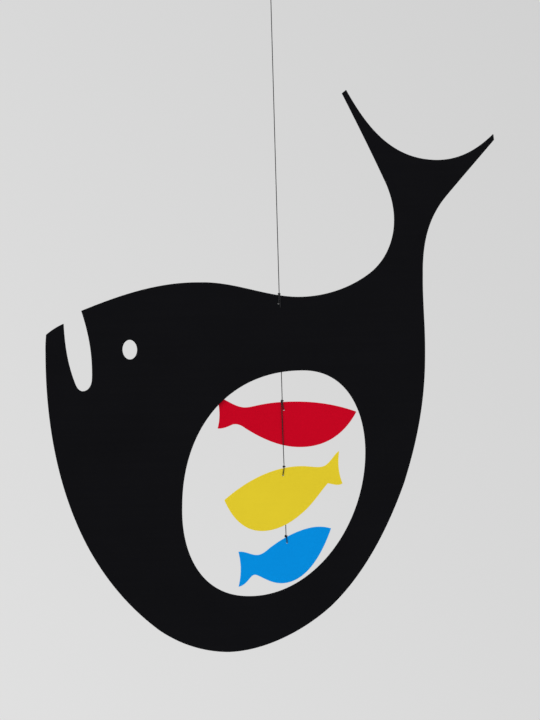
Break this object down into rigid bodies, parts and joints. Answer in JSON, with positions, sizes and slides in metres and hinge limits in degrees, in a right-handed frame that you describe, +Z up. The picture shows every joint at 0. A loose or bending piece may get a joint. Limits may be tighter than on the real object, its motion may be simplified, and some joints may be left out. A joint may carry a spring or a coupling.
{
  "type": "hanging mobile sculpture",
  "caption": "Flat black fish silhouette hung on a thread, with small red, yellow and blue flat fish strung in the opening of its belly.",
  "frame": {"origin": "inner top of the thread's end loop, where a hook carries the mobile", "axes": "+Z up along the thread, +X towards the black fish's tail side, +Y away from the viewer, square to the sheets"},
  "size_m": [0.3255, 0.0045, 0.483],
  "materials": {
    "thread": "twisted black sewing thread, matt",
    "black_sheet": "black plastic sheet, fine matt grain",
    "red_sheet": "red plastic sheet, fine matt grain",
    "yellow_sheet": "yellow plastic sheet, fine matt grain",
    "blue_sheet": "blue plastic sheet, fine matt grain"
  },
  "bodies": {
    "hanging_thread": {"hanging_thread": "thread"},
    "black_fish": {"black_fish": "black_sheet", "thread_black_to_red": "thread"},
    "red_fish": {"red_fish": "red_sheet", "thread_red_to_yellow": "thread"},
    "yellow_fish": {"yellow_fish": "yellow_sheet", "thread_yellow_to_blue": "thread"},
    "blue_fish": {"blue_fish": "blue_sheet", "blue_fish_tie": "thread"}
  },
  "joints": [
    {"name": "black_fish_turn", "type": "hinge", "parent": "hanging_thread", "child": "black_fish", "pos_m": [0, 0, -0.226], "axis": [0, 0, 1], "continuous": true},
    {"name": "red_fish_turn", "type": "hinge", "parent": "black_fish", "child": "red_fish", "pos_m": [0, 0, -0.302], "axis": [0, 0, 1], "range_deg": [-170, 0]},
    {"name": "yellow_fish_turn", "type": "hinge", "parent": "black_fish", "child": "yellow_fish", "pos_m": [0, 0, -0.35], "axis": [0, 0, 1], "range_deg": [-165, 165]},
    {"name": "blue_fish_turn", "type": "hinge", "parent": "black_fish", "child": "blue_fish", "pos_m": [0, 0, -0.4], "axis": [0, 0, 1], "range_deg": [-160, 155]}
  ]
}
